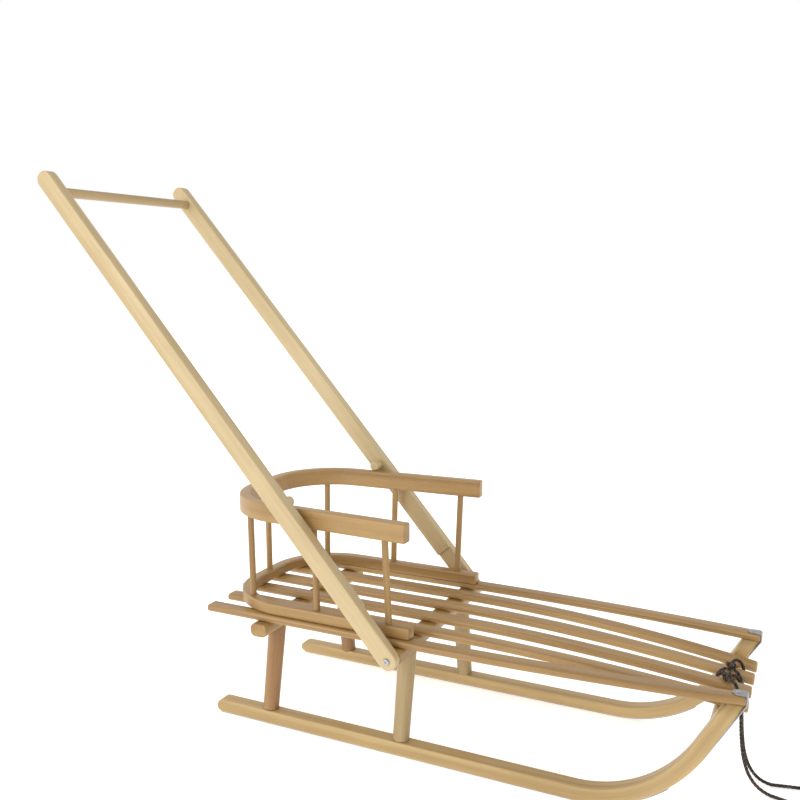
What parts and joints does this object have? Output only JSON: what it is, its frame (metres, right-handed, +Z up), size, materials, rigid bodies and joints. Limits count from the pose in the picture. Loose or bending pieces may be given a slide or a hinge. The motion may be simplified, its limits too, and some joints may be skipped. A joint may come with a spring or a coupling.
{
  "type": "wooden sledge",
  "caption": "Child's wooden sledge on two bent runners, with a slatted seat, a bent-wood back rest on spindles, steel shoes, a pull rope and a push handle that folds forward.",
  "frame": {"origin": "middle of the footprint at rest, on the ground plane", "axes": "+X to the front, +Y to the sledge's left, +Z up"},
  "size_m": [1.2924, 0.3626, 0.8802],
  "materials": {
    "beech": "satin lacquer",
    "leg_wood": "satin lacquer",
    "ash": "satin lacquer",
    "pale_birch": "satin lacquer",
    "dowel": "satin lacquer",
    "shoe_steel": "rolled strip",
    "zinc": "zinc plated",
    "rope": "twisted cord"
  },
  "bodies": {
    "sledge": {"right_runner": "ash", "left_runner": "ash", "right_shoe": "shoe_steel", "left_shoe": "shoe_steel", "shoe_screws": "zinc", "rear_crossbar": "beech", "middle_crossbar": "beech", "front_crossbar": "ash", "rear_right_leg": "leg_wood", "rear_left_leg": "leg_wood", "middle_right_leg": "leg_wood", "middle_left_leg": "leg_wood", "slat_1": "beech", "slat_2": "beech", "slat_3": "beech", "slat_4": "beech", "slat_5": "beech", "slat_6": "beech", "slat_nails": "zinc", "bottom_rail": "beech", "top_rail": "beech", "spindle_front_right": "beech", "spindle_front_left": "beech", "spindle_mid_right": "beech", "spindle_mid_left": "beech", "spindle_corner_right": "beech", "spindle_corner_left": "beech", "spindle_back": "beech", "rail_screws": "zinc", "right_pivot_bolt": "zinc", "left_pivot_bolt": "zinc", "right_rope_loop": "rope", "left_rope_loop": "rope", "rope_knots": "rope", "right_rope_lead": "rope", "left_rope_lead": "rope", "rope_coil": "rope", "coil_tie": "rope"},
    "handle": {"right_handle_bar": "pale_birch", "left_handle_bar": "pale_birch", "handle_grip": "dowel", "right_rest_peg": "dowel", "left_rest_peg": "dowel"}
  },
  "joints": [
    {"name": "handle_fold", "type": "hinge", "parent": "sledge", "child": "handle", "pos_m": [0.07621, 0, 0.1635], "axis": [0, 1, 0], "range_deg": [0, 125.2]}
  ]
}
